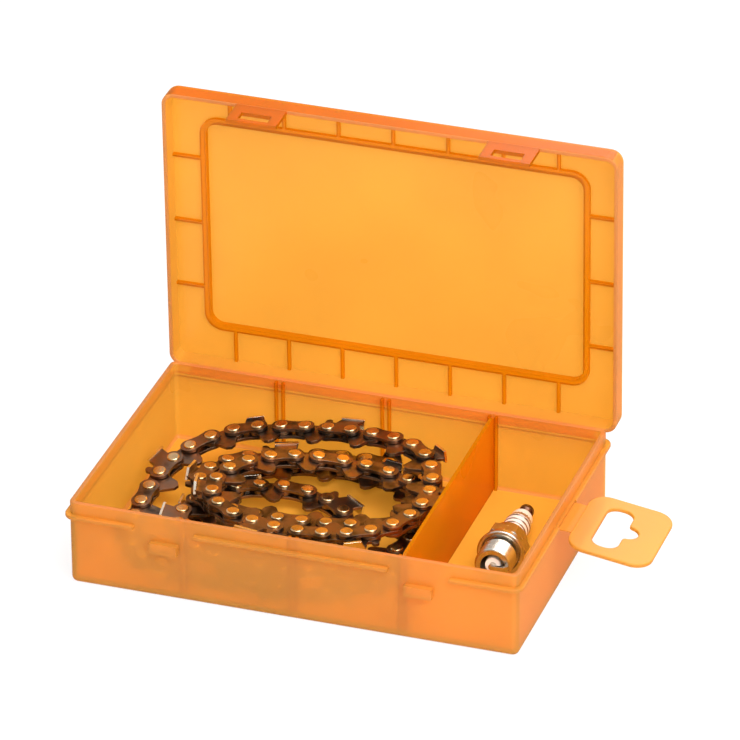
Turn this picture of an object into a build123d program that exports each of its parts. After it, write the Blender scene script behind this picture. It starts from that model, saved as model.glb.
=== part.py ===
"""Hinged storage box for a saw chain, with a hang tab, a divider, a chain and a spark plug.

The origin is the centre of the tray's underside. +Z is up, +X runs along the box to the hang tab,
and the lid is hinged along the back, at +Y. Lengths are in millimetres. The lid stands open.
"""

import os
from math import atan, cos, radians, sin

from build123d import *

# Overall sizes
box_length = 180.0        # over the tray's flange, along X
box_depth = 118.2         # over the tray's flange, along Y
tray_height = 29.9        # underside to the top of the flange
lid_height = 9.3          # flange to the lid's outer face
corner_radius = 4.5       # of the flange in plan
lid_corner_radius = 5.0
lid_overlap = 0.6         # lid's edge beyond the flange, all round

# Moulded walls
wall = 1.8
floor_thickness = 1.8
bottom_radius = 2.4       # round between floor and walls, outside
floor_round = 1.5         # round between floor and walls, inside
inner_radius = 1.7        # corners of the tray's inside in plan
flange_thickness = 1.6
lip_rise = 5.0            # the wall's top above the flange, inside the lid
lid_wall = 1.6
lid_skin = 1.4
lid_edge_radius = 2.3     # round between the lid's skirt and its top
edge_round = 0.45         # small rounds on lips and rims
lid_clearance = 0.9       # lip to the inside of the lid's skirt
rim_clearance = 0.2       # flange to the lid's rim, shut

# Raised panel of the lid, the bead round it and the ribs that run from the bead to the skirt
panel_length = 150.6      # inside the bead
panel_depth = 88.2
panel_shift = 1.6         # from the lid's middle towards its front
panel_raise = 1.2
panel_radius = 5.0
bead_width = 2.4
lid_rib_thickness = 1.2
lid_rib_height = 1.5      # of the bead too
lid_rib_pitch_long = 21.8
lid_rib_pitch_short = 28.2
lid_ribs_long = 7
lid_ribs_short = 3

# Divider and the grooves that hold it
compartments = 4          # equal widths between the grooves
divider_groove = 3        # the groove that holds the divider, counted from the left
divider_thickness = 1.3
divider_play = 0.2        # each side in its groove
divider_end_gap = 0.4     # each end, to the tray's wall
divider_floor_gap = 0.2
divider_corner = 3.0
groove_rib_thickness = 1.1
groove_rib_proud = 1.7
groove_rib_drop = 0.8     # rib's top below the wall's top

# Latches on the lid's front and the catches they snap over
latch_offset = 50.0       # latch centre to the middle of the box
latch_width = 20.0
latch_drop = 12.5         # below the rim
latch_side_gap = 2.0      # latch to the ends of the flange's notch
latch_bar = 1.9           # below the window
window_width = 12.0
catch_width = 10.8
catch_height = 4.4
catch_play = 0.3          # catch to the window, all round
catch_proud = 2.4         # beyond the tray's wall

# Film hinges
film_thickness = 0.4
lid_fold_gap = 0.12       # film's edge to the lid's fold line
film_fold_offset = 0.05   # film's face to the fold plane, at the fold
film_root_offset = 0.65   # film's face to the fold plane, at the rim
tab_fold_gap = 0.25       # film's edge to the tab's fold line
hinge_reach = 1.6         # flange's edge to the lid's fold line
lid_film_length = 164.0
lid_open_angle = 88.7     # lid's angle from shut, as it stands

# Hang tab
tab_fold_reach = 2.0      # flange's edge to the tab's fold line
tab_start = 2.3           # fold line to the tab's plate
tab_reach = 35.0          # fold line to the tab's outer edge
tab_width = 40.0
tab_thickness = 1.6
tab_corner_radius = 7.5
tab_film_width = 20.5
tab_notch_depth = 0.8     # cut into the flange's edge that takes the film's root
tab_notch_margin = 0.5    # beside the film
tab_drop = 1.4            # flange's top to the fold line
tab_droop_angle = 8.5     # below level, as it hangs
slot_start = 10.4         # fold line to the slot's straight edge
slot_depth = 10.3
slot_width = 28.0
slot_corner_radius = 4.6
slot_nose_radius = 4.2    # the round bump that takes the hook
slot_nose_rise = 0.6
slot_nose_round = 1.5

# Spark plug
thread_radius = 7.0
thread_depth = 0.65
thread_pitch = 1.25
thread_flank = 0.4        # share of the pitch, on each side of a turn
thread_reach = 12.7
gasket_radius = 9.1
gasket_thickness = 1.8
gasket_round = 0.7
collar_radius = 8.6
collar_thickness = 2.0
hex_across_flats = 16.0
hex_root = 0.1            # from the flats to the round body inside the hexagon
hex_height = 6.6
shoulder_radius = 7.5
shoulder_height = 5.6
shoulder_straight = 0.6   # share of the shoulder below its slope
shoulder_lip = 0.9        # rolled edge round the ceramic
insulator_radius = 5.2
insulator_top_radius = 4.3
insulator_height = 20.5
insulator_top_round = 0.8
insulator_groove_count = 3
insulator_groove_start = 3.4
insulator_groove_pitch = 3.6
insulator_groove_depth = 0.7
insulator_groove_width = 1.4
insulator_groove_slope = 0.5
nose_radius = 2.9
nose_recess = 1.0         # insulator's nose behind the shell's end
nose_flare = 1.2          # the nose widens towards its seat
nose_clearance = 0.5      # nose to the shell's step
seat_setback = 1.5        # seat to the gasket
seat_height = 2.2
shell_clearance = 0.1     # ceramic to the shell's bore
terminal_radius = 2.9
terminal_height = 8.6
terminal_foot_height = 2.4
terminal_neck_radius = 2.0
terminal_neck_height = 1.2
terminal_taper = 0.8
terminal_chamfer = 1.0
electrode_radius = 1.25
electrode_clearance = 0.05
electrode_reach = 1.1     # centre electrode beyond the shell's end
spark_gap = 0.8
ground_strap_width = 2.6
ground_strap_thickness = 1.3
ground_strap_corner = 1.2
plug_offset = 0.95        # the plug's threaded end to the middle of its compartment
plug_y = -18.5
plug_swing_angle = 3.9    # from the box's depth, towards the divider
rest_gap = 0.2            # things that lie on the floor

# Saw chain
rivet_pitch = 9.32        # between neighbouring rivets
drive_thickness = 1.3     # drive links, in the middle of the chain
tie_thickness = 1.2       # tie straps and cutters, on both sides
plate_play = 0.3          # drive link to the plates beside it
rivet_hole_radius = 1.65
rivet_pin_radius = 1.5
rivet_head_radius = 2.5
rivet_head_height = 0.7
link_end_radius = 3.8
link_waist = 3.1          # half the width of a link between its rivets
link_waist_radius = 14.0
tang_corner_radius = 0.8
cutter_height = 7.9       # rivet line to the top of a cutter
top_plate_thickness = 1.0
top_plate_reach = 2.6     # chain's middle plane to the top plate's outer edge
top_plate_width = 4.5
top_plate_rear = 8.0      # link's middle to the top plate's rear edge
top_plate_lead = 1.6      # link's middle to the cutting corner
top_plate_skew = 2.2      # cutting edge, from corner to corner
top_plate_taper = 0.8     # rear edge, from corner to corner
riser_inset = 0.6         # top plate's edges to the riser that carries it
gullet_reach = 1.2        # cutting corner to the foot of the gullet
gauge_height = 5.8        # rivet line to the top of the depth gauge
gauge_place = 5.6         # link's middle to the depth gauge
gauge_radius = 1.4
rivet_head_round = 0.5
link_pattern = 8          # links in one round of cutters and straps
level_gap = 0.4           # between the turns that lie on one another
chain_end_gap = 7.4       # outermost rivets to the divider and the end wall
chain_side_gap = 6.6      # outermost rivets to the ribs on the long walls

# Corners of a drive link's tang: x from the link's middle, y from the rivet line
tang_outline = [(-5.6, 1.5), (-2.8, 8.3), (-0.9, 9.7), (1.1, 9.0), (2.8, 6.3), (5.6, 1.5)]

# The chain's way through the compartment: x and y from its middle, and the level it lies on.
# The chain bends smoothly between these points.
route = [
    (-46, -43, 0.05), (-24, -46, 0), (3, -46, 0), (30, -45, 0), (51, -32, 0), (56.5, -6, 0),
    (56, 20, 0), (43, 41, 0), (17, 46.2, 0), (-9, 46, 0), (-30, 33, 0), (-39, 10, 0), (-35, -15, 0),
    (-14, -28, 0), (12, -28, 0), (29, -12, 0), (25, 11, 0.1), (3, 22, 0.5), (-20, 16, 0.85),
    (-37, -3, 1.05), (-39, -24, 1), (-22, -41, 1), (3, -44, 1), (29, -41, 1), (50, -25, 1),
    (56, 2, 1), (54, 27, 1), (37, 44, 1), (14, 45, 1), (-8, 39, 1.17), (-25, 27, 1.68),
    (-37, 10, 2.05), (-35, -8, 2.03), (-20, -18, 2), (0, -19, 2), (20, -17, 2), (40, -13, 2),
    (54, -3, 2), (56, 13, 2), (43, 26, 2), (21, 29, 2.2), (-1, 24, 2.7), (-18, 13, 3),
    (-28, -5, 3.05), (-23, -24, 3.05), (-4, -34, 3), (22, -36, 3), (45, -28, 3), (57, -9, 3),
    (56, 18, 3.1), (42, 42, 3.1), (15, 46.5, 2.8), (-9, 46.5, 2.45), (-32, 44, 2.1), (-49, 32, 1.6),
    (-57, 11, 1), (-57, -10, 0.45), (-55, -29, 0.2),
]

# Sizes that follow from the ones above
flange_overhang = lid_wall + lid_clearance - lid_overlap
lid_length = box_length + 2 * lid_overlap
lid_depth = box_depth + 2 * lid_overlap
wall_length = box_length - 2 * flange_overhang
wall_depth = box_depth - 2 * flange_overhang
wall_radius = corner_radius - flange_overhang
inner_length = wall_length - 2 * wall
inner_depth = wall_depth - 2 * wall
wall_top = tray_height + lip_rise
groove_pitch = inner_length / compartments
groove_positions = [groove_pitch * (index - compartments / 2) for index in range(1, compartments)]
divider_x = groove_positions[divider_groove - 1]
plug_x = (divider_x + divider_thickness / 2 + inner_length / 2) / 2 + plug_offset
hinge_y = box_depth / 2 + hinge_reach
lid_middle = -hinge_reach - box_depth / 2
lid_ceiling = lid_height - lid_skin
panel_middle = lid_middle - panel_shift
latch_middle_y = lid_middle - lid_depth / 2 + lid_wall / 2
window_height = catch_height + 2 * catch_play
window_bottom = -latch_drop + latch_bar
catch_bottom = tray_height + rim_clearance + window_bottom + catch_play

lid_rib_places_x = [
    (index - (lid_ribs_long - 1) / 2) * lid_rib_pitch_long for index in range(lid_ribs_long)
]
lid_rib_places_y = [
    panel_middle + (index - (lid_ribs_short - 1) / 2) * lid_rib_pitch_short
    for index in range(lid_ribs_short)
]

# The lid's own frame: its origin is on the fold line, x along it, z away from the rim
lid_frame = Plane(
    origin=(0, hinge_y, tray_height),
    x_dir=(1, 0, 0),
    z_dir=(0, sin(radians(lid_open_angle)), cos(radians(lid_open_angle))),
)

# The tab's own frame: its origin is on the fold line, x out along the tab
tab_fold_x = box_length / 2 + tab_fold_reach
tab_frame = Plane(
    origin=(tab_fold_x, 0, tray_height - tab_drop),
    x_dir=(cos(radians(tab_droop_angle)), 0, -sin(radians(tab_droop_angle))),
    z_dir=(sin(radians(tab_droop_angle)), 0, cos(radians(tab_droop_angle))),
)

os.makedirs("parts", exist_ok=True)


def save(part, name):
    """Label a finished piece and write it under its own name."""
    part.label = name
    export_step(part, f"parts/{name}.step")


def is_flange_edge(edge):
    """Whether an edge is one of the long ones on the outside of the flange."""
    middle = edge.center()
    beside_wall = max(abs(middle.X) - wall_length / 2, abs(middle.Y) - wall_depth / 2)
    from_flange = abs(middle.Z - tray_height + flange_thickness / 2)
    is_long = edge.length > 2 * flange_thickness
    return is_long and beside_wall > flange_overhang / 2 and from_flange < flange_thickness


# Tray: floor, walls with a lip, flange with notches, grooves for dividers and two catches
with BuildPart() as tray:
    with BuildSketch():
        RectangleRounded(wall_length, wall_depth, wall_radius)
    extrude(amount=wall_top)
    fillet(tray.faces().sort_by(Axis.Z)[0].edges(), bottom_radius)
    with BuildSketch(Plane.XY.offset(tray_height - flange_thickness)):
        RectangleRounded(box_length, box_depth, corner_radius)
    extrude(amount=flange_thickness)
    fillet(tray.edges().filter_by(is_flange_edge), edge_round)
    with BuildSketch(Plane.XY.offset(floor_thickness)):
        RectangleRounded(inner_length, inner_depth, inner_radius)
    extrude(amount=wall_top, mode=Mode.SUBTRACT)
    inner_floor_edges = tray.edges().filter_by(
        lambda edge: abs(edge.center().Z - floor_thickness) < 0.01
    )
    fillet(inner_floor_edges, floor_round)
    top_edges = tray.faces().sort_by(Axis.Z)[-1].edges()
    fillet(top_edges, edge_round)
    for groove_x in groove_positions:
        rib_offset = divider_thickness / 2 + divider_play + groove_rib_thickness / 2
        for side in (-1, 1):
            rib_y = side * (inner_depth / 2 - groove_rib_proud / 2 + wall / 4)
            with BuildSketch(Plane.XY.offset(floor_thickness / 2)):
                with Locations((groove_x - rib_offset, rib_y), (groove_x + rib_offset, rib_y)):
                    Rectangle(groove_rib_thickness, groove_rib_proud + wall / 2)
            extrude(amount=wall_top - groove_rib_drop - floor_thickness / 2)
    with BuildSketch(Plane.XY.offset(tray_height - flange_thickness)):
        with Locations((-latch_offset, -box_depth / 2), (latch_offset, -box_depth / 2)):
            Rectangle(latch_width + 2 * latch_side_gap, 2 * flange_overhang)
    extrude(amount=flange_thickness, mode=Mode.SUBTRACT)
    with BuildSketch(Plane.XY.offset(catch_bottom)):
        with Locations((-latch_offset, -wall_depth / 2), (latch_offset, -wall_depth / 2)):
            Rectangle(catch_width, 2 * catch_proud)
    extrude(amount=catch_height)
    with BuildSketch(Plane.XY.offset(tray_height - flange_thickness)):
        with Locations((box_length / 2, 0)):
            Rectangle(2 * tab_notch_depth, tab_film_width + 2 * tab_notch_margin)
    extrude(amount=flange_thickness, mode=Mode.SUBTRACT)
save(tray.part, "tray")

# Lid: a shallow shell with a raised panel, a bead round the panel and short ribs
lid_normal = Axis(lid_frame.origin, lid_frame.z_dir)
with BuildPart() as lid:
    with BuildSketch(lid_frame.offset(rim_clearance)):
        with Locations((0, lid_middle)):
            RectangleRounded(lid_length, lid_depth, lid_corner_radius)
    extrude(amount=lid_height - rim_clearance)
    fillet(lid.faces().sort_by(lid_normal)[-1].edges(), lid_edge_radius)
    with BuildSketch(lid_frame.offset(lid_ceiling)):
        with Locations((0, panel_middle)):
            RectangleRounded(
                panel_length + 2 * lid_skin, panel_depth + 2 * lid_skin, panel_radius + lid_skin
            )
    extrude(amount=lid_skin + panel_raise)
    fillet(lid.faces().sort_by(lid_normal)[-1].edges(), panel_raise / 2)
    with BuildSketch(lid_frame.offset(rim_clearance)):
        with Locations((0, lid_middle)):
            RectangleRounded(
                lid_length - 2 * lid_wall, lid_depth - 2 * lid_wall, lid_corner_radius - lid_wall
            )
    extrude(amount=lid_ceiling - rim_clearance, mode=Mode.SUBTRACT)
    fillet(lid.faces().sort_by(lid_normal)[0].edges(), edge_round)
    with BuildSketch(lid_frame.offset(lid_ceiling - lid_rib_height)):
        with Locations((0, panel_middle)):
            RectangleRounded(
                panel_length + 2 * bead_width,
                panel_depth + 2 * bead_width,
                panel_radius + bead_width,
            )
        for rib_x in lid_rib_places_x:
            with Locations((rib_x, lid_middle)):
                Rectangle(lid_rib_thickness, lid_depth - lid_wall)
        for rib_y in lid_rib_places_y:
            with Locations((0, rib_y)):
                Rectangle(lid_length - lid_wall, lid_rib_thickness)
    extrude(amount=lid_rib_height)
    with BuildSketch(lid_frame.offset(lid_ceiling - lid_rib_height)):
        with Locations((0, panel_middle)):
            RectangleRounded(panel_length, panel_depth, panel_radius)
    extrude(amount=lid_rib_height + panel_raise, mode=Mode.SUBTRACT)
save(lid.part, "lid")

# Latches: two tongues with a window each, flush with the front of the lid's skirt
with BuildPart() as lid_latches:
    for latch_x in (-latch_offset, latch_offset):
        with BuildSketch(lid_frame.offset(-latch_drop)):
            with Locations((latch_x, latch_middle_y)):
                Rectangle(latch_width, lid_wall)
        extrude(amount=latch_drop + rim_clearance)
        with BuildSketch(lid_frame.offset(window_bottom)):
            with Locations((latch_x, latch_middle_y)):
                Rectangle(window_width, 2 * lid_wall)
        extrude(amount=window_height, mode=Mode.SUBTRACT)
save(lid_latches.part, "lid_latches")

# Film hinge of the lid, in two strips that meet at the fold line
film_edge = -lid_fold_gap
tray_film_root = -hinge_reach
lid_film_root = lid_overlap - hinge_reach
tray_film_frame = Plane(
    origin=(-lid_film_length / 2, hinge_y, tray_height), x_dir=(0, 1, 0), z_dir=(1, 0, 0)
)
lid_film_frame = Plane(
    origin=(-lid_film_length / 2, hinge_y, tray_height),
    x_dir=lid_frame.y_dir,
    z_dir=lid_frame.x_dir,
)
with BuildPart() as hinge_film_tray:
    with BuildSketch(tray_film_frame):
        Polygon(
            (tray_film_root, -film_root_offset),
            (tray_film_root, -film_root_offset - film_thickness),
            (film_edge, -film_fold_offset - film_thickness),
            (film_edge, -film_fold_offset),
            align=None,
        )
    extrude(amount=lid_film_length)
save(hinge_film_tray.part, "hinge_film_tray")

with BuildPart() as hinge_film_lid:
    with BuildSketch(lid_film_frame):
        Polygon(
            (lid_film_root, film_root_offset),
            (lid_film_root, film_root_offset + film_thickness),
            (film_edge, film_fold_offset + film_thickness),
            (film_edge, film_fold_offset),
            align=None,
        )
    extrude(amount=lid_film_length)
save(hinge_film_lid.part, "hinge_film_lid")

# Hang tab: a rounded plate with a hook slot, on a film hinge of its own
with BuildPart() as hang_tab:
    with BuildSketch(tab_frame.offset(-tab_thickness / 2)) as tab_outline:
        with Locations(((tab_start + tab_reach) / 2, 0)):
            RectangleRounded(tab_reach - tab_start, tab_width, tab_corner_radius)
        with Locations((slot_start + slot_depth / 2, 0)):
            RectangleRounded(slot_depth, slot_width, slot_corner_radius, mode=Mode.SUBTRACT)
        with Locations((slot_start + slot_depth + slot_nose_rise, 0)):
            Circle(slot_nose_radius, mode=Mode.SUBTRACT)
        nose_corners = tab_outline.vertices().filter_by(
            lambda corner: abs(abs(corner.Y) - slot_nose_radius) < 0.5 * slot_nose_radius
            and abs(corner.X - slot_start - slot_depth) < 0.01
        )
        fillet(nose_corners, slot_nose_round)
    extrude(amount=tab_thickness)
    tab_normal = Axis(tab_frame.origin, tab_frame.z_dir)
    fillet(hang_tab.faces().sort_by(tab_normal)[-1].edges(), edge_round)
    fillet(hang_tab.faces().sort_by(tab_normal)[0].edges(), edge_round)
save(hang_tab.part, "hang_tab")

with BuildPart() as tab_film_tray:
    tray_strip = tab_fold_reach - tab_fold_gap + tab_notch_depth
    with BuildSketch(Plane.XY.offset(tray_height - tab_drop - film_thickness / 2)):
        with Locations((tab_fold_x - tab_fold_gap - tray_strip / 2, 0)):
            Rectangle(tray_strip, tab_film_width)
    extrude(amount=film_thickness)
save(tab_film_tray.part, "tab_film_tray")

with BuildPart() as tab_film_tab:
    with BuildSketch(tab_frame.offset(-film_thickness / 2)):
        with Locations(((tab_start + tab_fold_gap) / 2, 0)):
            Rectangle(tab_start - tab_fold_gap, tab_film_width)
    extrude(amount=film_thickness)
save(tab_film_tab.part, "tab_film_tab")

# Divider: a loose plate that drops into one pair of grooves
divider_height = wall_top - edge_round - floor_thickness - divider_floor_gap
divider_depth = inner_depth - 2 * divider_end_gap
with BuildPart() as divider:
    with BuildSketch(Plane.YZ.offset(divider_x - divider_thickness / 2)):
        with Locations((0, floor_thickness + divider_floor_gap + divider_height / 2)):
            Rectangle(divider_depth, divider_height)
    extrude(amount=divider_thickness)
    end_edges = divider.edges().filter_by(Axis.X)
    fillet(end_edges.group_by(Axis.Z)[-1], divider_corner)
    fillet(end_edges.group_by(Axis.Z)[0], floor_round + divider_end_gap)
save(divider.part, "divider")

# Spark plug, lying on its hexagon and its terminal; s runs from the threaded end to the terminal
collar_start = thread_reach + gasket_thickness
hex_start = collar_start + collar_thickness
shoulder_start = hex_start + hex_height
insulator_start = shoulder_start + shoulder_height
terminal_start = insulator_start + insulator_height
terminal_end = terminal_start + terminal_height
rest_run = terminal_end - shoulder_start
plug_dip = atan((hex_across_flats / 2 - terminal_radius) / rest_run)
hex_centre_height = floor_thickness + rest_gap + hex_across_flats / 2 * cos(plug_dip)
plug_height = hex_centre_height + shoulder_start * sin(plug_dip)
swing = radians(plug_swing_angle)
plug_direction = Vector(
    -sin(swing) * cos(plug_dip),
    cos(swing) * cos(plug_dip),
    -sin(plug_dip),
)
plug_frame = Plane(
    origin=(plug_x, plug_y, plug_height),
    x_dir=(cos(swing), sin(swing), 0),
    z_dir=plug_direction,
)
plug_axis = Axis(plug_frame.origin, plug_frame.z_dir)
plug_section = Plane(
    origin=plug_frame.origin, x_dir=plug_frame.x_dir, z_dir=plug_frame.x_dir.cross(plug_frame.z_dir)
)
body_bore_radius = insulator_radius + shell_clearance
step_radius = nose_radius + nose_flare + nose_clearance
seat_depth = thread_reach - seat_setback


def shell_profile_points():
    """Outline of the metal shell, as radius and s: outside with its thread, then the stepped bore."""
    points = [(step_radius, 0), (thread_radius - thread_depth, 0)]
    turns = int((thread_reach - 2 * thread_pitch) / thread_pitch)
    for turn in range(turns):
        start = thread_pitch / 2 + turn * thread_pitch
        points.append((thread_radius - thread_depth, start))
        points.append((thread_radius, start + thread_pitch * thread_flank))
        points.append((thread_radius, start + thread_pitch * (1 - thread_flank)))
    relief_start = thread_pitch / 2 + turns * thread_pitch
    points.append((thread_radius - thread_depth, relief_start))
    points.append((thread_radius - thread_depth, collar_start))
    points.append((collar_radius, collar_start))
    points.append((collar_radius, hex_start))
    points.append((hex_across_flats / 2 - hex_root, hex_start))
    points.append((hex_across_flats / 2 - hex_root, shoulder_start))
    points.append((shoulder_radius, shoulder_start))
    points.append((shoulder_radius, shoulder_start + shoulder_height * shoulder_straight))
    points.append((insulator_radius + shoulder_lip, insulator_start))
    points.append((body_bore_radius, insulator_start))
    points.append((body_bore_radius, seat_depth))
    points.append((step_radius, seat_depth - seat_height))
    return points


def insulator_profile_points():
    """Outline of the ceramic, as radius and s: the nose, the body in the shell, grooves and top."""
    bore = electrode_radius + electrode_clearance
    points = [(bore, nose_recess), (nose_radius, nose_recess)]
    points.append((nose_radius + nose_flare, seat_depth - seat_height))
    points.append((insulator_radius, seat_depth + shoulder_lip))
    for index in range(insulator_groove_count):
        start = insulator_start + insulator_groove_start + index * insulator_groove_pitch
        end = start + insulator_groove_width
        points.append((insulator_radius, start))
        points.append((insulator_radius - insulator_groove_depth, start + insulator_groove_slope))
        points.append((insulator_radius - insulator_groove_depth, end - insulator_groove_slope))
        points.append((insulator_radius, end))
    points.append((insulator_top_radius, terminal_start - insulator_top_round))
    points.append((insulator_top_radius - insulator_top_round, terminal_start))
    points.append((bore, terminal_start))
    return points


with BuildPart() as plug_shell:
    with BuildSketch(plug_section):
        with BuildLine():
            Polyline(*shell_profile_points(), close=True)
        make_face()
    revolve(axis=plug_axis)
    with BuildSketch(plug_frame.offset(hex_start)):
        RegularPolygon(hex_across_flats / 2, 6, major_radius=False)
        Circle(shoulder_radius, mode=Mode.SUBTRACT)
    extrude(amount=hex_height)
save(plug_shell.part, "plug_shell")

with BuildPart() as plug_insulator:
    with BuildSketch(plug_section):
        with BuildLine():
            Polyline(*insulator_profile_points(), close=True)
        make_face()
    revolve(axis=plug_axis)
save(plug_insulator.part, "plug_insulator")

with BuildPart() as plug_gasket:
    with BuildSketch(plug_frame.offset(thread_reach)):
        Circle(gasket_radius)
        Circle(thread_radius + shell_clearance, mode=Mode.SUBTRACT)
    extrude(amount=gasket_thickness)
    fillet(plug_gasket.edges().filter_by(GeomType.CIRCLE), gasket_round)
save(plug_gasket.part, "plug_gasket")

neck_start = terminal_start + terminal_foot_height + terminal_taper
neck_end = neck_start + terminal_neck_height
with BuildPart() as plug_terminal:
    with BuildSketch(plug_section):
        with BuildLine():
            Polyline(
                (0, terminal_start),
                (terminal_radius, terminal_start),
                (terminal_radius, neck_start - terminal_taper),
                (terminal_neck_radius, neck_start),
                (terminal_neck_radius, neck_end),
                (terminal_radius, neck_end + terminal_taper),
                (terminal_radius, terminal_end - terminal_chamfer),
                (terminal_radius - terminal_chamfer, terminal_end),
                (0, terminal_end),
                close=True,
            )
        make_face()
    revolve(axis=plug_axis)
save(plug_terminal.part, "plug_terminal")

with BuildPart() as plug_centre_electrode:
    with BuildSketch(plug_frame.offset(-electrode_reach)):
        Circle(electrode_radius)
    extrude(amount=electrode_reach + terminal_start)
save(plug_centre_electrode.part, "plug_centre_electrode")

strap_out = electrode_reach + spark_gap + ground_strap_thickness
strap_outside = thread_radius - thread_depth
strap_inside = strap_outside - ground_strap_thickness
with BuildPart() as plug_side_electrode:
    with BuildSketch(plug_section):
        with BuildLine():
            Polyline(
                (strap_outside, 0),
                (strap_outside, ground_strap_corner - strap_out),
                (strap_outside - ground_strap_corner, -strap_out),
                (0, -strap_out),
                (0, ground_strap_thickness - strap_out),
                (strap_inside, ground_strap_thickness - strap_out),
                (strap_inside, 0),
                close=True,
            )
        make_face()
    extrude(amount=ground_strap_width / 2, both=True)
save(plug_side_electrode.part, "plug_side_electrode")

# Saw chain: where each link lies. The route is a closed curve that is smoothed between its points.
bed_start = -inner_length / 2
bed_end = divider_x - divider_thickness / 2
bed_middle = (bed_start + bed_end) / 2
plate_offset = drive_thickness / 2 + plate_play
stack_half = plate_offset + tie_thickness + rivet_head_height
chain_height = floor_thickness + rest_gap + stack_half
level_height = 2 * stack_half + level_gap
route_reach_x = (bed_end - bed_start) / 2 - chain_end_gap
route_reach_y = inner_depth / 2 - groove_rib_proud - chain_side_gap
route_stretch_x = route_reach_x / max(abs(x) for x, y, level in route)
route_stretch_y = route_reach_y / max(abs(y) for x, y, level in route)


def route_point(place, scale):
    """Point on the smoothed route; place counts the route's points from its start."""
    index = int(place)
    rest = place - index
    weights = (
        (1 - rest) ** 3 / 6,
        (3 * rest**3 - 6 * rest**2 + 4) / 6,
        (-3 * rest**3 + 3 * rest**2 + 3 * rest + 1) / 6,
        rest**3 / 6,
    )
    x = y = level = 0.0
    for step, weight in enumerate(weights):
        point = route[(index + step - 1) % len(route)]
        x += weight * point[0]
        y += weight * point[1]
        level += weight * point[2]
    return Vector(
        bed_middle + x * route_stretch_x * scale,
        y * route_stretch_y * scale,
        chain_height + level * level_height,
    )


def next_place(place, scale):
    """Place of the next rivet, one rivet pitch away in a straight line."""
    here = route_point(place, scale)
    near = place
    far = place + 1
    while far - near > 1e-7:
        middle = (near + far) / 2
        if (route_point(middle, scale) - here).length < rivet_pitch:
            near = middle
        else:
            far = middle
    return near


def lay_rivets(count, scale):
    """Rivets along the route from its start, and the place where the last link ends."""
    place = 0.0
    rivets = []
    for _ in range(count):
        rivets.append(route_point(place, scale))
        place = next_place(place, scale)
    return rivets, place


# The number of links is the largest whole number of patterns that the route takes,
# and the route shrinks until the chain closes on its first rivet
link_count = 0
turn_place = 0.0
while turn_place < len(route):
    turn_place = next_place(turn_place, 1.0)
    link_count += 1
link_count -= (link_count - 1) % link_pattern + 1
small_scale = 0.8
large_scale = 1.0
while large_scale - small_scale > 1e-8:
    route_scale = (small_scale + large_scale) / 2
    chain_rivet_points, end_place = lay_rivets(link_count, route_scale)
    if end_place > len(route):
        small_scale = route_scale
    else:
        large_scale = route_scale

# Each link's frame: x along the chain, y to the side of the tangs, z along the rivets
link_planes = []
for index, start_point in enumerate(chain_rivet_points):
    end_point = chain_rivet_points[(index + 1) % link_count]
    along = (end_point - start_point).normalized()
    upright = (Vector(0, 0, 1) - along * along.Z).normalized()
    link_planes.append(Plane(origin=(start_point + end_point) / 2, x_dir=along, z_dir=upright))
drive_places = [Location(plane) for plane in link_planes[0::2]]
pair_places = [Location(plane) for plane in link_planes[1::2]]
left_places = pair_places[0::4]
right_places = pair_places[2::4]

# One link of each kind, about its own middle
rivet_places = [(-rivet_pitch / 2, 0), (rivet_pitch / 2, 0)]
waist_offset = link_waist + link_waist_radius

with BuildPart() as drive_link:
    with BuildSketch(Plane.XY.offset(-drive_thickness / 2)) as drive_outline:
        SlotCenterToCenter(rivet_pitch, 2 * link_end_radius)
        with Locations((0, -waist_offset)):
            Circle(link_waist_radius, mode=Mode.SUBTRACT)
        Polygon(*tang_outline, align=None)
        tang_corners = drive_outline.vertices().filter_by(
            lambda corner: corner.Y > link_end_radius
        )
        fillet(tang_corners, tang_corner_radius)
        with Locations(*rivet_places):
            Circle(rivet_hole_radius, mode=Mode.SUBTRACT)
    extrude(amount=drive_thickness)

with BuildPart() as tie_strap:
    with BuildSketch(Plane.XY.offset(plate_offset)):
        SlotCenterToCenter(rivet_pitch, 2 * link_end_radius)
        with Locations((0, -waist_offset), (0, waist_offset)):
            Circle(link_waist_radius, mode=Mode.SUBTRACT)
        with Locations(*rivet_places):
            Circle(rivet_hole_radius, mode=Mode.SUBTRACT)
    extrude(amount=tie_thickness)

with BuildPart() as cutter:
    riser_top = cutter_height - top_plate_thickness / 2
    gauge_middle = gauge_height - gauge_radius
    with BuildSketch(Plane.XY.offset(plate_offset)):
        SlotCenterToCenter(rivet_pitch, 2 * link_end_radius)
        with Locations((0, waist_offset)):
            Circle(link_waist_radius, mode=Mode.SUBTRACT)
        Polygon(
            (-rivet_pitch / 2, 0),
            (-top_plate_rear + riser_inset, -riser_top),
            (top_plate_lead - riser_inset, -riser_top),
            (top_plate_lead + gullet_reach, -link_waist),
            (top_plate_lead + gullet_reach, 0),
            align=None,
        )
        with Locations((gauge_place, -gauge_middle / 2)):
            Rectangle(2 * gauge_radius, gauge_middle)
        with Locations((gauge_place, -gauge_middle)):
            Circle(gauge_radius)
        with Locations(*rivet_places):
            Circle(rivet_hole_radius, mode=Mode.SUBTRACT)
    extrude(amount=tie_thickness)
    with BuildSketch(Plane.XZ.offset(cutter_height - top_plate_thickness)):
        Polygon(
            (-top_plate_rear, top_plate_reach),
            (top_plate_lead, top_plate_reach),
            (top_plate_lead - top_plate_skew, top_plate_reach - top_plate_width),
            (-top_plate_rear + top_plate_taper, top_plate_reach - top_plate_width),
            align=None,
        )
    extrude(amount=top_plate_thickness)

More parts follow.
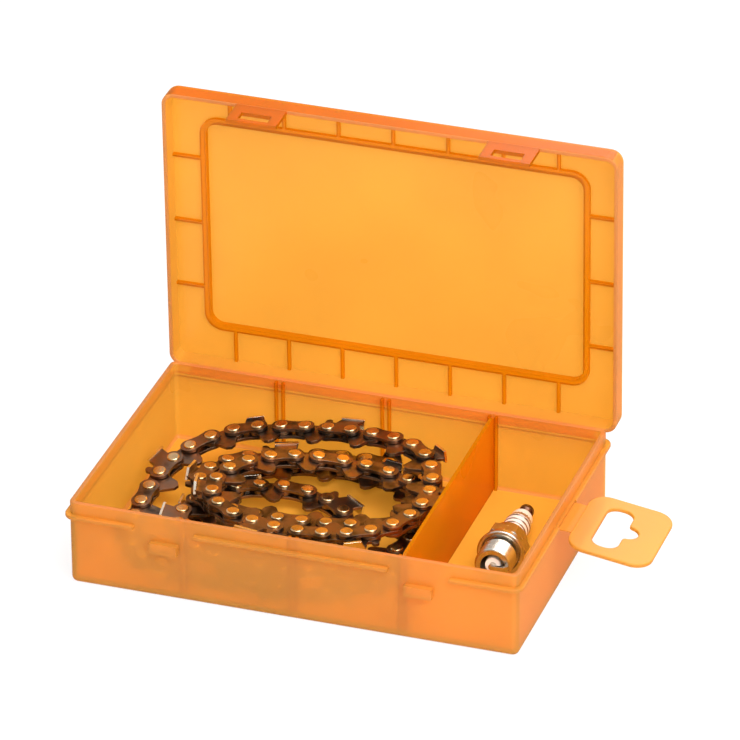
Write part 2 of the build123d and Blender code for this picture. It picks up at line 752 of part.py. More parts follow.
with BuildPart() as rivet:
    head_seat = plate_offset + tie_thickness
    head_middle = head_seat + rivet_head_height / 2
    Cylinder(rivet_pin_radius, 2 * head_seat)
    with Locations((0, 0, -head_middle), (0, 0, head_middle)):
        Cylinder(rivet_head_radius, rivet_head_height)
    fillet(rivet.edges().group_by(Axis.Z)[0], rivet_head_round)
    fillet(rivet.edges().group_by(Axis.Z)[-1], rivet_head_round)

tie_strap_below = mirror(tie_strap.solid(), about=Plane.XY)
cutter_right = mirror(cutter.solid(), about=Plane.XY)

# The whole chain, one node for each kind of link
upper_straps = [place for index, place in enumerate(pair_places) if index % 4 != 0]
lower_straps = [place for index, place in enumerate(pair_places) if index % 4 != 2]
rivet_spots = [place * Location((x, y, 0)) for place in pair_places for x, y in rivet_places]


def lay_links(*laid):
    """Copies of the links, each at its own places, as one part."""
    copies = [place * link for link, places in laid for place in places]
    return Compound(copies)


save(lay_links((drive_link.solid(), drive_places)), "chain_drive_links")
save(
    lay_links((tie_strap.solid(), upper_straps), (tie_strap_below, lower_straps)),
    "chain_tie_straps",
)
save(lay_links((cutter.solid(), left_places)), "chain_cutters_left")
save(lay_links((cutter_right, right_places)), "chain_cutters_right")
save(lay_links((rivet.solid(), rivet_spots)), "chain_rivets")
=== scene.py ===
"""Looks of a hinged storage box with a saw chain and a spark plug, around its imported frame."""

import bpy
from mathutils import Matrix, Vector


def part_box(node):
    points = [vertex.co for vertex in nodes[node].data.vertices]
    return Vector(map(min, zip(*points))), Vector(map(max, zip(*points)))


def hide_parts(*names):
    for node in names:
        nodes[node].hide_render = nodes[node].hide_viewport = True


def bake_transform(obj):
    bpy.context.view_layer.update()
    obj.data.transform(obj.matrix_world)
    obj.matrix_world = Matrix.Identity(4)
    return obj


bl_info = {
    "name": "Saw Chain Storage Box",
    "version": (1, 0, 0),
    "blender": (4, 5, 0),
    "location": "View3D > Sidebar > Chain Box",
    "description": "Finishes the storage box, its saw chain and its spark plug, and sets the stage",
    "category": "Object",
}

from math import cos, radians, sin

import bmesh
import bpy
from bpy.props import FloatProperty, PointerProperty, StringProperty
from bpy.types import Operator, Panel, PropertyGroup
from mathutils import Matrix, Vector

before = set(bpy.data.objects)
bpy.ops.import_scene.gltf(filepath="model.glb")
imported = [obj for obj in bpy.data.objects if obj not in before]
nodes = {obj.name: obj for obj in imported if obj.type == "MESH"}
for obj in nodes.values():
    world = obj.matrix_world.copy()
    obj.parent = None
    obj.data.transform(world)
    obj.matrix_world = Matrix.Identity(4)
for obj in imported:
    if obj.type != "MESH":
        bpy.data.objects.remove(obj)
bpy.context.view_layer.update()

MM = 0.001

# Lid, which stands open at this angle about its fold line
LID_FOLD = Vector((0, 60.7 * MM, 29.9 * MM))
LID_ANGLE = radians(88.7)
LID_OUTWARD = Vector((0, sin(LID_ANGLE), cos(LID_ANGLE)))
LID_TOWARDS_FOLD = Vector((0, cos(LID_ANGLE), -sin(LID_ANGLE)))
LID_MIDDLE = 60.7 * MM
LID_FRONT = 119.5 * MM
LID_RIM = 0.5 * MM
LID_HALF_INSIDE = (88.8 * MM, 57.9 * MM)
BEAD_RANGE = (6.3 * MM, 8.9 * MM)
BEAD_FOOT = 6.5 * MM

# Tray, from the middle of its underside
FLOOR_TOP = 1.8 * MM
FLOOR_SLACK = 0.1 * MM
FLOOR_ROUND = (1.82 * MM, 3.3 * MM)
FLOOR_HALF_FLAT = (84.7 * MM, 53.8 * MM)
WALL_HALF_INSIDE = (86.35 * MM, 55.45 * MM)
LIP_TOP = 34.6 * MM
GROOVE_PLACES = (-43.15 * MM, 0, 43.15 * MM)
GROOVE_HALF_WIDTH = 2.1 * MM
GROOVE_RANGE = (53.5 * MM, 55.3 * MM)
GROOVE_FOOT = 2.5 * MM

# Cutters and spark plug
TOP_PLATE_DEPTH = 1.05 * MM
PLUG_END = Vector((66.0 * MM, -18.5 * MM, 13.27 * MM))
PLUG_DIRECTION = Vector((-0.0673, 0.9871, -0.1454))
# Where the painted shade of the ceramic's grooves lies, along the plug and round it
SHADED_GROOVES_ALONG = (30 * MM, 44 * MM)
SHADED_GROOVES_RADIUS = (4.0 * MM, 5.1 * MM)

# Real sizes of the patterns in the materials
PIGMENT_DRIFT = 40 * MM
OIL_PATCH = 9.1 * MM
ROLLED_GRAIN = 1.11 * MM
PLATING_CLOUD = 2.5 * MM
CERAMIC_CLOUD = 3.33 * MM
SKIN_DEPTH = 0.1 * MM
STAMPED_EDGE = 0.22 * MM
MACHINED_EDGE = 0.2 * MM

# Material slots of the box, the cutters and the ceramic
# The thick slot also holds the lid's front skirt, whose deeper amber is painted shade
THICK_OR_SHADED_SLOT = 1
# Painted highlight on the lip tops, the floor rounds and the lid's rim
PAINTED_HIGHLIGHT_SLOT = 2
# Painted light on the tray's floor
PAINTED_FLOOR_LIGHT_SLOT = 3
CHROME_SLOT = 1
# Painted shade in the ceramic's grooves
GROOVE_SHADE_SLOT = 1

# Stage
WHITE = "#FFFFFF"
FLOOR_HALF = 3.0
FLOOR_GAP = 0.05 * MM
SENSOR_WIDTH = 36.0


# Sizes and colours that a user would change

class PlasticSettings(PropertyGroup):
    """Injection-moulded polypropylene of the tray, lid, tab and divider."""

    box_colour: StringProperty(
        name="Box colour", description="What the tray, lid and tab reflect", default="#F0AC50"
    )
    box_through: StringProperty(
        name="Box, through", description="What passes the tray, lid and tab", default="#F6CC70"
    )
    # Ribs, beads and latches are thicker and so a deeper amber; on the lid's front skirt the same
    # amber is painted shade
    thick_or_shaded_colour: StringProperty(
        name="Thick colour", description="Ribs, beads and latches", default="#D88608"
    )
    thick_or_shaded_through: StringProperty(
        name="Thick, through", description="What passes ribs, beads and latches", default="#F0A408"
    )
    # Painted highlight: a paler plastic on the lip tops, the floor rounds and the lid's rim, where
    # edges catch the light
    painted_highlight_colour: StringProperty(
        name="Edge colour", description="Edges that gather light", default="#F8B46A"
    )
    # Painted light: the floor gets a paler, yellower plastic for the light that falls into the
    # tray, and less see-through so the shade under it shows less
    painted_floor_light_colour: StringProperty(
        name="Floor colour", description="Floor, which lies on a bright table", default="#FFB444"
    )
    divider_colour: StringProperty(
        name="Divider colour", description="What the divider reflects", default="#F49C06"
    )
    divider_through: StringProperty(
        name="Divider, through", description="What passes the divider", default="#FFC414"
    )
    see_through: FloatProperty(
        name="See-through", description="Share of the light that passes the plastic straight",
        default=0.5, min=0.0, max=1.0, subtype="FACTOR",
    )
    floor_see_through: FloatProperty(
        name="Floor see-through", description="The same share for the floor, on its table",
        default=0.15, min=0.0, max=1.0, subtype="FACTOR",
    )
    glow: FloatProperty(
        name="Glow", description="Share of the rest that the plastic scatters to its far side",
        default=0.5, min=0.0, max=1.0, subtype="FACTOR",
    )
    grain: FloatProperty(
        name="Mould grain", description="Width of the mould's grain, coarser than real to show",
        default=0.0006, min=0.0001, unit="LENGTH",
    )


class ChainSettings(PropertyGroup):
    """Steel of the saw chain."""

    plate_colour: StringProperty(
        name="Plate colour", description="Oiled, heat-treated plates", default="#7A6656"
    )
    rivet_colour: StringProperty(
        name="Rivet colour", description="Polished rivet heads", default="#D2B88C"
    )
    cutter_colour: StringProperty(
        name="Cutter colour", description="Chromed top plates of the cutters", default="#F2EBDA"
    )


class PlugSettings(PropertyGroup):
    """Materials of the spark plug."""

    shell_colour: StringProperty(
        name="Shell colour", description="Zinc-plated shell", default="#C8C2B6"
    )
    ceramic_colour: StringProperty(
        name="Ceramic colour", description="Glazed ceramic", default="#F4F1EA"
    )
    # Painted shade: dark brown in the grooves of the ceramic, where shade falls
    groove_shade_colour: StringProperty(
        name="Ring colour", description="Dark rings round the ceramic", default="#6A4A30"
    )
    terminal_colour: StringProperty(
        name="Terminal colour", description="Dark terminal nut", default="#5B3A28"
    )


class FilmSettings(PropertyGroup):
    """Thin folds between the tray, the lid and the tab."""

    thickness: FloatProperty(
        name="Thickness", description="Thickness of the folding films",
        default=0.0004, min=0.0001, unit="LENGTH",
    )


class StageSettings(PropertyGroup):
    """Camera, lamps and floor."""

    azimuth: FloatProperty(
        name="Azimuth", description="Camera's turn to the right of the front",
        default=radians(18.951), subtype="ANGLE",
    )
    elevation: FloatProperty(
        name="Elevation", description="Camera's height as an angle",
        default=radians(30.784), subtype="ANGLE",
    )
    roll: FloatProperty(
        name="Roll", description="Camera's roll", default=radians(-0.54), subtype="ANGLE"
    )
    distance: FloatProperty(
        name="Distance", description="Camera to the middle of the tray's underside",
        default=2.5473, unit="LENGTH",
    )
    lens: FloatProperty(
        name="Lens", description="Focal length for a sensor 36 mm wide", default=326.24
    )
    aim_right: FloatProperty(
        name="Aim right", description="View's middle to the right of the tray's middle",
        default=radians(0.2486), subtype="ANGLE",
    )
    aim_up: FloatProperty(
        name="Aim up", description="View's middle above the tray's middle",
        default=radians(1.4936), subtype="ANGLE",
    )
    key_power: FloatProperty(
        name="Key lamp", description="Power of the large lamp above", default=18.0, unit="POWER"
    )
    fill_power: FloatProperty(
        name="Fill lamps", description="Power of the lamps at the right and behind",
        default=8.0, unit="POWER",
    )
    world_level: FloatProperty(
        name="World", description="Level of the even light all round", default=0.84
    )
    paper_colour: StringProperty(
        name="Paper colour", description="Paper under the box", default="#EFEFEF"
    )
    paper_glow: FloatProperty(
        name="Paper glow", description="How far the paper goes to white where it is seen",
        default=0.85, min=0.0, max=1.0, subtype="FACTOR",
    )


# Materials

def linear(hex_colour):
    """Linear colour, with alpha, of an sRGB hex value."""
    digits = hex_colour.lstrip("#")
    channels = []
    for start in (0, 2, 4):
        value = int(digits[start:start + 2], 16) / 255
        channels.append(value / 12.92 if value <= 0.04045 else ((value + 0.055) / 1.055) ** 2.4)
    return (*channels, 1.0)


def add_node(material, kind, settings=None, links=None):
    """A node of a material or a world, with its settings and its links from other nodes."""
    tree = material.node_tree
    node = tree.nodes.new(kind)
    for name, value in (settings or {}).items():
        if isinstance(name, int) or name in node.inputs:
            node.inputs[name].default_value = value
        else:
            setattr(node, name, value)
    for name, (source, output) in (links or {}).items():
        tree.links.new(source.outputs[output], node.inputs[name])
    return node


def new_material(name):
    """An empty material with its output node."""
    material = bpy.data.materials.new(name)
    material.use_nodes = True
    material.node_tree.nodes.clear()
    output = add_node(material, "ShaderNodeOutputMaterial")
    return material, output


def finish_material(material, output, shader):
    """Links the shader to the output, and returns the material."""
    material.node_tree.links.new(shader.outputs[0], output.inputs["Surface"])
    return material


def colour_ramp(material, source, stops):
    """Ramp of colours driven by a node's first output."""
    ramp = add_node(material, "ShaderNodeValToRGB")
    elements = ramp.color_ramp.elements
    while len(elements) < len(stops):
        elements.new(0.5)
    for element, (position, colour) in zip(elements, stops):
        element.position = position
        element.color = colour
    material.node_tree.links.new(source.outputs[0], ramp.inputs["Fac"])
    return ramp


def shade(colour, factor):
    """A colour made darker or lighter."""
    return (*(min(channel * factor, 1.0) for channel in colour[:3]), 1.0)


def noise(material, size, detail):
    """A noise pattern on a piece, with patches of a real size."""
    place = add_node(material, "ShaderNodeTexCoord")
    return add_node(
        material, "ShaderNodeTexNoise", {"Scale": 1 / size, "Detail": detail},
        {"Vector": (place, "Object")},
    )


def polypropylene(name, reflected, passed, settings, see_through):
    """Translucent polypropylene: it scatters one colour and passes a yellower one.

    Injection moulding gives it a waxy gloss and a milky drift of the pigment along the flow.
    """
    material, output = new_material(name)
    flow = noise(material, PIGMENT_DRIFT, detail=2.0)
    tints = []
    for colour in (linear(reflected), linear(passed)):
        dull = shade(colour, factor=0.95)
        pale = shade(colour, factor=1.04)
        tints.append(colour_ramp(material, flow, [(0.2, dull), (0.8, pale)]))
    fine = noise(material, settings.grain, detail=1.0)
    bump = add_node(
        material, "ShaderNodeBump", {"Strength": 0.08, "Distance": SKIN_DEPTH},
        {"Height": (fine, 0)},
    )
    rough = add_node(
        material, "ShaderNodeMapRange", {"To Min": 0.24, "To Max": 0.34}, {"Value": (flow, 0)}
    )
    skin = add_node(
        material, "ShaderNodeBsdfPrincipled", {"IOR": 1.49, "Specular IOR Level": 0.6},
        {
            "Base Color": (tints[0], "Color"),
            "Roughness": (rough, "Result"),
            "Normal": (bump, "Normal"),
        },
    )
    milk = add_node(material, "ShaderNodeBsdfTranslucent", None, {"Color": (tints[1], "Color")})
    clear = add_node(
        material, "ShaderNodeBsdfRefraction", {"IOR": 1.2, "Roughness": 0.16},
        {"Color": (tints[1], "Color"), "Normal": (bump, "Normal")},
    )
    cloudy = add_node(
        material, "ShaderNodeMixShader", {"Fac": settings.glow},
        {1: (skin, "BSDF"), 2: (milk, "BSDF")},
    )
    mixed = add_node(
        material, "ShaderNodeMixShader", {"Fac": see_through},
        {1: (cloudy, "Shader"), 2: (clear, "BSDF")},
    )
    return finish_material(material, output, mixed)


def oiled_steel(name, hex_colour, dark, warm, roughness):
    """Heat-treated steel under a film of oil: brown to reddish, worn brighter in patches."""
    material, output = new_material(name)
    colour = linear(hex_colour)
    less_blue = 0.8
    warm_colour = (min(colour[0] * warm, 1.0), colour[1], colour[2] * less_blue, 1.0)
    patches = noise(material, OIL_PATCH, detail=3.0)
    tint = colour_ramp(
        material, patches,
        [(0.36, shade(colour, dark)), (0.5, colour), (0.66, warm_colour)],
    )
    rolled = noise(material, ROLLED_GRAIN, detail=2.0)
    rough = add_node(
        material, "ShaderNodeMapRange",
        {"To Min": roughness - 0.07, "To Max": roughness + 0.12}, {"Value": (rolled, 0)},
    )
    edges = add_node(material, "ShaderNodeBevel", {"Radius": STAMPED_EDGE, "samples": 4})
    bump = add_node(
        material, "ShaderNodeBump", {"Strength": 0.15, "Distance": SKIN_DEPTH},
        {"Height": (rolled, 0), "Normal": (edges, "Normal")},
    )
    shader = add_node(
        material, "ShaderNodeBsdfPrincipled",
        {"Metallic": 1.0, "Coat Weight": 0.25, "Coat Roughness": 0.18},
        {
            "Base Color": (tint, "Color"),
            "Roughness": (rough, "Result"),
            "Normal": (bump, "Normal"),
        },
    )
    return finish_material(material, output, shader)


def plated_steel(name, hex_colour, roughness):
    """Bright plating on machined steel: a clean mirror-like skin with faint tool marks."""
    material, output = new_material(name)
    colour = linear(hex_colour)
    cloud = noise(material, PLATING_CLOUD, detail=2.0)
    tint = colour_ramp(material, cloud, [(0.3, shade(colour, factor=0.85)), (0.7, colour)])
    rough = add_node(
        material, "ShaderNodeMapRange",
        {"To Min": roughness, "To Max": roughness + 0.1}, {"Value": (cloud, 0)},
    )
    edges = add_node(material, "ShaderNodeBevel", {"Radius": MACHINED_EDGE, "samples": 4})
    shader = add_node(
        material, "ShaderNodeBsdfPrincipled", {"Metallic": 1.0},
        {
            "Base Color": (tint, "Color"),
            "Roughness": (rough, "Result"),
            "Normal": (edges, "Normal"),
        },
    )
    return finish_material(material, output, shader)


def glazed_ceramic(name, hex_colour):
    """Glazed alumina ceramic: hard and white under a clear wet-looking glaze."""
    material, output = new_material(name)
    colour = linear(hex_colour)
    body = noise(material, CERAMIC_CLOUD, detail=2.0)
    tint = colour_ramp(material, body, [(0.35, shade(colour, factor=0.94)), (0.65, colour)])
    shader = add_node(
        material, "ShaderNodeBsdfPrincipled",
        {"IOR": 1.55, "Roughness": 0.3, "Coat Weight": 1.0, "Coat Roughness": 0.05},
        {"Base Color": (tint, "Color")},
    )
    return finish_material(material, output, shader)


def give(node_name, *materials):
    """Puts materials on a node of the frame or on a piece of the scene."""
    piece = nodes.get(node_name) or bpy.data.objects[node_name]
    piece.data.materials.clear()
    for material in materials:
        piece.data.materials.append(material)


def piece_from_bmesh(name, shape):
    """A new object at the origin from a bmesh."""
    mesh = bpy.data.meshes.new(name)
    bmesh.ops.recalc_face_normals(shape, faces=shape.faces)
    shape.to_mesh(mesh)
    shape.free()
    piece = bpy.data.objects.new(name, mesh)
    bpy.context.scene.collection.objects.link(piece)
    return piece


def film(name, path, width_axis, half_width, thickness):
    """A thin strip along a path of points, as wide as given to both sides of it."""
    shape = bmesh.new()
    across = Vector(width_axis) * half_width
    points = [shape.verts.new(Vector(point) - across) for point in path]
    edges = [shape.edges.new(pair) for pair in zip(points, points[1:])]
    swept = bmesh.ops.extrude_edge_only(shape, edges=edges)["geom"]
    moved = [part for part in swept if isinstance(part, bmesh.types.BMVert)]
    bmesh.ops.translate(shape, verts=moved, vec=2 * across)
    bmesh.ops.solidify(shape, geom=shape.faces[:], thickness=thickness)
    return piece_from_bmesh(name, shape)


# Pieces

class CHAINBOX_OT_box(Operator):
    """Finishes the tray, the lid with its latches and the hang tab"""

    bl_idname = "chainbox.box"
    bl_label = "Moulded Box"

    def execute(self, context):
        settings = context.scene.chainbox_plastic
        plastic = polypropylene(
            "Translucent Polypropylene", settings.box_colour, settings.box_through, settings,
            settings.see_through,
        )
        # Thick plastic, also put on the lid's front skirt as painted shade
        thick = polypropylene(
            "Thick or Shaded Polypropylene", settings.thick_or_shaded_colour, settings.thick_or_shaded_through, settings,
            settings.see_through,
        )
        # Painted highlight on the edges, in a paler plastic
        edge = polypropylene(
            "Painted Highlight Polypropylene", settings.painted_highlight_colour, settings.painted_highlight_colour, settings,
            settings.see_through,
        )
        # Painted light on the floor: a paler, yellower and less see-through plastic
        painted_floor_light = polypropylene(
            "Painted Floor Light Polypropylene", settings.painted_floor_light_colour, settings.box_through, settings,
            settings.floor_see_through,
        )
        give("tray", plastic, thick, edge, painted_floor_light)
        give("lid", plastic, thick, edge)
        give("hang_tab", plastic)
        give("lid_latches", thick)
        mark_faces(nodes["lid"].data, is_thick_or_shaded_lid, THICK_OR_SHADED_SLOT)
        mark_faces(nodes["lid"].data, is_lid_rim_painted_highlight, PAINTED_HIGHLIGHT_SLOT)
        mark_faces(nodes["tray"].data, is_thick_tray, THICK_OR_SHADED_SLOT)
        mark_faces(nodes["tray"].data, is_tray_painted_highlight, PAINTED_HIGHLIGHT_SLOT)
        mark_faces(nodes["tray"].data, is_tray_floor, PAINTED_FLOOR_LIGHT_SLOT)
        return {"FINISHED"}


def mark_faces(mesh, is_marked, slot):
    """Gives one of the materials to the faces that a function picks by their middle and normal."""
    for face in mesh.polygons:
        if is_marked(face.center, face.normal):
            face.material_index = slot


def between(value, limits):
    """Whether a value lies between two limits."""
    return limits[0] < value < limits[1]


def within(middle, half_sizes):
    """Whether a point lies inside a rectangle round the middle of the tray."""
    return abs(middle.x) < half_sizes[0] and abs(middle.y) < half_sizes[1]


def is_thick_or_shaded_lid(middle, normal):
    """Whether a face is on the bead or the ribs inside the lid, or on its front skirt, whose deeper
    amber is painted shade.
    """
    depth = (middle - LID_FOLD).dot(LID_OUTWARD)
    along = -(middle - LID_FOLD).dot(LID_TOWARDS_FOLD)
    facing = abs(normal.dot(LID_OUTWARD))
    half_length, half_depth = LID_HALF_INSIDE
    inside = abs(middle.x) < half_length and abs(along - LID_MIDDLE) < half_depth
    on_side = facing < 0.5 or depth < BEAD_FOOT
    # The front skirt is not thick: its deeper amber is painted shade
    on_front = along > LID_FRONT and facing < 0.8
    return on_front or (inside and on_side and between(depth, BEAD_RANGE))


def is_lid_rim_painted_highlight(middle, normal):
    """Whether a face is on the lid's rim, which gets a painted highlight."""
    return (middle - LID_FOLD).dot(LID_OUTWARD) < LID_RIM


def is_tray_painted_highlight(middle, normal):
    """Whether a face is on top of the lip, or on the round between the floor and the walls, which
    get a painted highlight.
    """
    beside_floor = within(middle, WALL_HALF_INSIDE) and not within(middle, FLOOR_HALF_FLAT)
    return middle.z > LIP_TOP or (beside_floor and between(middle.z, FLOOR_ROUND))


def is_tray_floor(middle, normal):
    """Whether a face is on top of the tray's floor, which gets painted light."""
    return normal.z > 0.9 and abs(middle.z - FLOOR_TOP) < FLOOR_SLACK


def is_thick_tray(middle, normal):
    """Whether a face is on the ribs that hold a divider."""
    on_rib = any(abs(middle.x - place) < GROOVE_HALF_WIDTH for place in GROOVE_PLACES)
    return on_rib and between(abs(middle.y), GROOVE_RANGE) and middle.z > GROOVE_FOOT


class CHAINBOX_OT_films(Operator):
    """Makes the lid's and the tab's folding films in the pose they stand in, and hides the frame's
    films
    """

    bl_idname = "chainbox.films"
    bl_label = "Folding Films"

    def execute(self, context):
        thickness = context.scene.chainbox_film.thickness
        tray_low, tray_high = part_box("hinge_film_tray")
        lid_low, lid_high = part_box("hinge_film_lid")
        half = (tray_high.x - tray_low.x) / 2
        near_y = tray_low.y
        near_z = tray_low.z + thickness
        far_y = lid_high.y - thickness
        far_z = lid_high.z
        fold_y = (tray_high.y + lid_low.y) / 2
        fold_z = (tray_high.z + lid_low.z) / 2
        rise = 0.25
        ease = 0.2
        path = [
            (0, near_y, near_z),
            (0, (near_y + fold_y) / 2, near_z + rise * (fold_z - near_z)),
            (0, fold_y, fold_z),
            (0, far_y - ease * (far_y - fold_y), (fold_z + far_z) / 2),
            (0, far_y, far_z),
        ]
        lid_film = film("lid_folding_film", path, (1, 0, 0), half, thickness)
        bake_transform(lid_film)
        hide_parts("hinge_film_tray", "hinge_film_lid")

        edge_low, edge_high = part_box("tab_film_tray")
        tab_low, tab_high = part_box("tab_film_tab")
        level = (edge_low.z + edge_high.z) / 2
        tab_level = tab_low.z + thickness / 2
        fold_x = (edge_high.x + tab_low.x) / 2
        path = [
            (edge_low.x, 0, level),
            (edge_high.x - thickness, 0, level),
            (fold_x, 0, level),
            (tab_low.x + thickness, 0, level - ease * (level - tab_level)),
            (tab_high.x, 0, tab_level),
        ]
        tab_film = film("tab_folding_film", path, (0, 1, 0), edge_high.y, thickness)
        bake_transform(tab_film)
        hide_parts("tab_film_tray", "tab_film_tab")
        plastic = nodes["tray"].data.materials[0]
        for name in ("lid_folding_film", "tab_folding_film"):
            give(name, plastic)
        return {"FINISHED"}


class CHAINBOX_OT_divider(Operator):
    """Finishes the loose divider"""

    bl_idname = "chainbox.divider"
    bl_label = "Divider"

    def execute(self, context):
        settings = context.scene.chainbox_plastic
        give("divider", polypropylene(
            "Deep Polypropylene", settings.divider_colour, settings.divider_through, settings,
            settings.see_through,
        ))
        return {"FINISHED"}


class CHAINBOX_OT_chain(Operator):
    """Finishes the saw chain's plates, rivets and cutters"""

    bl_idname = "chainbox.chain"
    bl_label = "Saw Chain"

    def execute(self, context):
        settings = context.scene.chainbox_chain
        plates = oiled_steel(
            "Oiled Heat-Treated Steel", settings.plate_colour, dark=0.3, warm=1.3, roughness=0.3
        )
        rivets = oiled_steel(
            "Polished Rivet Steel", settings.rivet_colour, dark=0.75, warm=1.1, roughness=0.2
        )
        chrome = plated_steel("Hard Chrome", settings.cutter_colour, roughness=0.16)
        give("chain_drive_links", plates)
        give("chain_tie_straps", plates)
        give("chain_rivets", rivets)
        for name in ("chain_cutters_left", "chain_cutters_right"):
            give(name, plates, chrome)
            mark_top_plates(nodes[name].data)
        return {"FINISHED"}


def mark_top_plates(mesh):
    """Gives chrome to the faces of each cutter's top plate.

    A cutter is an island of the mesh. Its largest flat face is the side plate's. The top plate's
    is the largest one square to that, and it lies at the island's outer end.
    """
    shape = bmesh.new()
    shape.from_mesh(mesh)
    original = shape.faces.layers.int.new("original")
    for face in shape.faces:
        face[original] = face.index
    bmesh.ops.remove_doubles(shape, verts=shape.verts, dist=0.01 * MM)
    left = set(shape.faces)
    while left:
        island = [left.pop()]
        for face in island:
            for edge in face.edges:
                for other in edge.link_faces:
                    if other in left:
                        left.discard(other)
                        island.append(other)
        areas = {}
        for face in island:
            key = tuple(round(part, 2) for part in face.normal)
            areas[key] = areas.get(key, 0.0) + face.calc_area()
        ranked = sorted(areas, key=areas.get, reverse=True)
        side_normal = Vector(ranked[0])
        outward = next(
            Vector(key) for key in ranked if abs(Vector(key).dot(side_normal)) < 0.1
        ).normalized()
        middle = sum((face.calc_center_median() for face in island), Vector()) / len(island)
        heights = [(vert.co - middle).dot(outward) for face in island for vert in face.verts]
        if max(heights) < -min(heights):
            outward = -outward
            heights = [-height for height in heights]
        plate_bottom = max(heights) - TOP_PLATE_DEPTH
        for face in island:
            if min((vert.co - middle).dot(outward) for vert in face.verts) > plate_bottom:
                mesh.polygons[face[original]].material_index = CHROME_SLOT
    shape.free()


def is_shaded_groove(middle, normal):
    """Whether a face is in the painted shade of one of the ceramic's grooves, outside the shell."""
    along = (middle - PLUG_END).dot(PLUG_DIRECTION)
    radius = (middle - PLUG_END - PLUG_DIRECTION * along).length
    return between(along, SHADED_GROOVES_ALONG) and between(radius, SHADED_GROOVES_RADIUS)


class CHAINBOX_OT_plug(Operator):
    """Finishes the spark plug's shell, ceramic and terminal"""

    bl_idname = "chainbox.plug"
    bl_label = "Spark Plug"

    def execute(self, context):
        settings = context.scene.chainbox_plug
        zinc = plated_steel("Zinc-Plated Steel", settings.shell_colour, roughness=0.2)
        for name in ("plug_shell", "plug_gasket", "plug_side_electrode", "plug_centre_electrode"):
            give(name, zinc)
        give(
            "plug_insulator",
            glazed_ceramic("Glazed Ceramic", settings.ceramic_colour),
            glazed_ceramic("Painted Groove Shade", settings.groove_shade_colour),
        )
        # The ceramic's grooves take the dark colour as painted shade
        mark_faces(nodes["plug_insulator"].data, is_shaded_groove, GROOVE_SHADE_SLOT)
        give("plug_terminal", oiled_steel(
            "Dark Terminal Steel", settings.terminal_colour, dark=0.6, warm=1.1, roughness=0.35
        ))
        return {"FINISHED"}


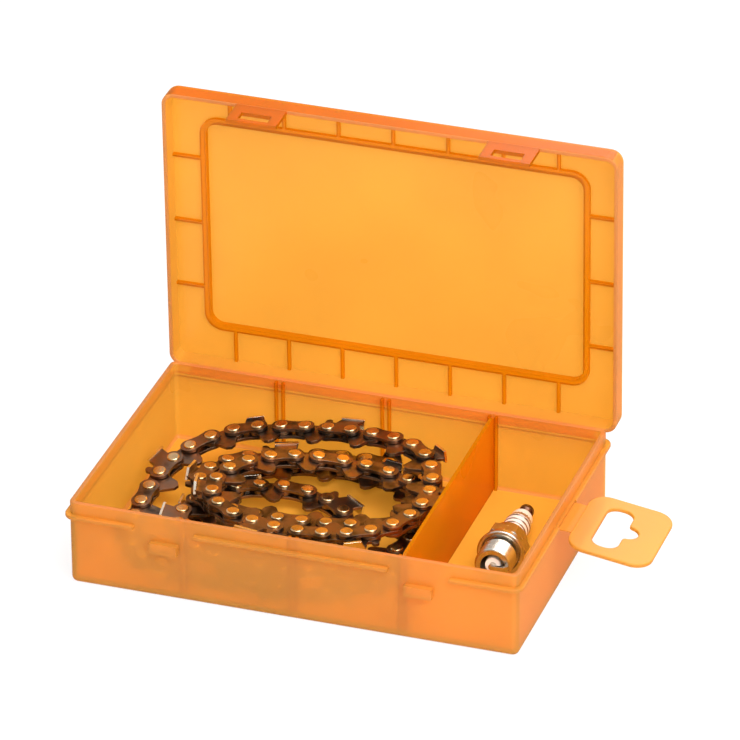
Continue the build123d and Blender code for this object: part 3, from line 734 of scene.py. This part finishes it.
class CHAINBOX_OT_stage(Operator):
    """Sets the floor, the lamps, the world and the camera"""

    bl_idname = "chainbox.stage"
    bl_label = "Stage"

    def execute(self, context):
        settings = context.scene.chainbox_stage
        scene = context.scene
        scene.view_settings.view_transform = "Standard"

        self.floor(settings)
        self.room(scene, settings)
        self.lamp("key_lamp", place=(0.4, -0.35, 1.0), size=0.9, power=settings.key_power)
        self.lamp("fill_lamp", place=(1.0, -0.7, 0.5), size=0.7, power=settings.fill_power)
        self.lamp("back_lamp", place=(0.1, 1.0, 0.6), size=0.7, power=settings.fill_power)
        self.camera(scene, settings)
        return {"FINISHED"}

    @staticmethod
    def floor(settings):
        """A sweep of white paper, which looks white where it is seen and keeps the shadow."""
        shape = bmesh.new()
        bmesh.ops.create_grid(shape, x_segments=1, y_segments=1, size=FLOOR_HALF)
        floor = piece_from_bmesh("floor", shape)
        floor.data.transform(Matrix.Translation((0, 0, -FLOOR_GAP)))
        material, output = new_material("White Paper Sweep")
        ray = add_node(material, "ShaderNodeLightPath")
        paper = add_node(
            material, "ShaderNodeBsdfDiffuse", {"Color": linear(settings.paper_colour)}
        )
        glow = add_node(
            material, "ShaderNodeEmission", {"Color": linear(WHITE), "Strength": 1.0}
        )
        seen = add_node(
            material, "ShaderNodeMath", {"operation": "MAXIMUM"},
            {0: (ray, "Is Camera Ray"), 1: (ray, "Is Glossy Ray")},
        )
        seen = add_node(
            material, "ShaderNodeMath", {"operation": "MAXIMUM"},
            {0: (seen, 0), 1: (ray, "Is Transmission Ray")},
        )
        share = add_node(
            material, "ShaderNodeMath", {"operation": "MULTIPLY", 1: settings.paper_glow},
            {0: (seen, 0)},
        )
        mixed = add_node(
            material, "ShaderNodeMixShader", None,
            {"Fac": (share, 0), 1: (paper, "BSDF"), 2: (glow, "Emission")},
        )
        floor.data.materials.append(finish_material(material, output, mixed))

    @staticmethod
    def room(scene, settings):
        """Even white light all round, at full white where the camera sees it."""
        world = bpy.data.worlds.new("Studio Room")
        scene.world = world
        world.use_nodes = True
        world.node_tree.nodes.clear()
        output = add_node(world, "ShaderNodeOutputWorld")
        ray = add_node(world, "ShaderNodeLightPath")
        light = add_node(
            world, "ShaderNodeBackground",
            {"Color": linear(WHITE), "Strength": settings.world_level},
        )
        seen = add_node(world, "ShaderNodeBackground", {"Color": linear(WHITE), "Strength": 1.0})
        mixed = add_node(
            world, "ShaderNodeMixShader", None,
            {"Fac": (ray, "Is Camera Ray"), 1: (light, "Background"), 2: (seen, "Background")},
        )
        world.node_tree.links.new(mixed.outputs[0], output.inputs["Surface"])

    @staticmethod
    def lamp(name, place, size, power):
        """A square lamp that faces the box."""
        data = bpy.data.lights.new(name, "AREA")
        data.energy = power
        data.size = size
        lamp = bpy.data.objects.new(name, data)
        bpy.context.scene.collection.objects.link(lamp)
        lamp.location = place
        lamp.rotation_euler = Vector(place).to_track_quat("Z", "Y").to_euler()

    @staticmethod
    def camera(scene, settings):
        """A camera at the photograph's angle."""
        towards = Vector((
            sin(settings.azimuth) * cos(settings.elevation),
            -cos(settings.azimuth) * cos(settings.elevation),
            sin(settings.elevation),
        ))
        right = (-towards).cross(Vector((0, 0, 1))).normalized()
        up = right.cross(-towards)
        rolled_right = right * cos(settings.roll) + up * sin(settings.roll)
        rolled_up = up * cos(settings.roll) - right * sin(settings.roll)
        ahead = -towards + rolled_right * settings.aim_right + rolled_up * settings.aim_up
        ahead.normalize()
        view_right = ahead.cross(rolled_up).normalized()
        view_up = view_right.cross(ahead)
        data = bpy.data.cameras.new("photo_camera")
        data.lens = settings.lens
        data.sensor_width = SENSOR_WIDTH
        data.clip_start = 0.1
        data.clip_end = 30.0
        camera = bpy.data.objects.new("photo_camera", data)
        scene.collection.objects.link(camera)
        turned = Matrix((view_right, view_up, -ahead)).transposed()
        camera.matrix_world = Matrix.Translation(towards * settings.distance) @ turned.to_4x4()
        scene.camera = camera


class CHAINBOX_PT_panel(Panel):
    """Shows the settings and the operators of the storage box."""

    bl_label = "Chain Box"
    bl_idname = "CHAINBOX_PT_panel"
    bl_space_type = "VIEW_3D"
    bl_region_type = "UI"
    bl_category = "Chain Box"

    def draw(self, context):
        for name, operators in PANEL_ROWS:
            settings = getattr(context.scene, name)
            column = self.layout.column()
            for key in settings.__annotations__:
                column.prop(settings, key)
            for operator in operators:
                column.operator(operator)


PANEL_ROWS = (
    ("chainbox_plastic", ("chainbox.box", "chainbox.divider")),
    ("chainbox_film", ("chainbox.films",)),
    ("chainbox_chain", ("chainbox.chain",)),
    ("chainbox_plug", ("chainbox.plug",)),
    ("chainbox_stage", ("chainbox.stage",)),
)

GROUPS = (
    ("chainbox_plastic", PlasticSettings),
    ("chainbox_chain", ChainSettings),
    ("chainbox_plug", PlugSettings),
    ("chainbox_film", FilmSettings),
    ("chainbox_stage", StageSettings),
)

OPERATORS = (
    CHAINBOX_OT_box,
    CHAINBOX_OT_films,
    CHAINBOX_OT_divider,
    CHAINBOX_OT_chain,
    CHAINBOX_OT_plug,
    CHAINBOX_OT_stage,
)


def register():
    """Registers the settings, the operators and the panel."""
    for name, group in GROUPS:
        bpy.utils.register_class(group)
        setattr(bpy.types.Scene, name, PointerProperty(type=group))
    for operator in OPERATORS:
        bpy.utils.register_class(operator)
    bpy.utils.register_class(CHAINBOX_PT_panel)


def unregister():
    """Removes what register added."""
    bpy.utils.unregister_class(CHAINBOX_PT_panel)
    for operator in reversed(OPERATORS):
        bpy.utils.unregister_class(operator)
    for name, group in reversed(GROUPS):
        delattr(bpy.types.Scene, name)
        bpy.utils.unregister_class(group)


def main():
    """Makes every piece and the stage."""
    register()
    bpy.ops.chainbox.box()
    bpy.ops.chainbox.films()
    bpy.ops.chainbox.divider()
    bpy.ops.chainbox.chain()
    bpy.ops.chainbox.plug()
    bpy.ops.chainbox.stage()


if __name__ == "__main__":
    main()
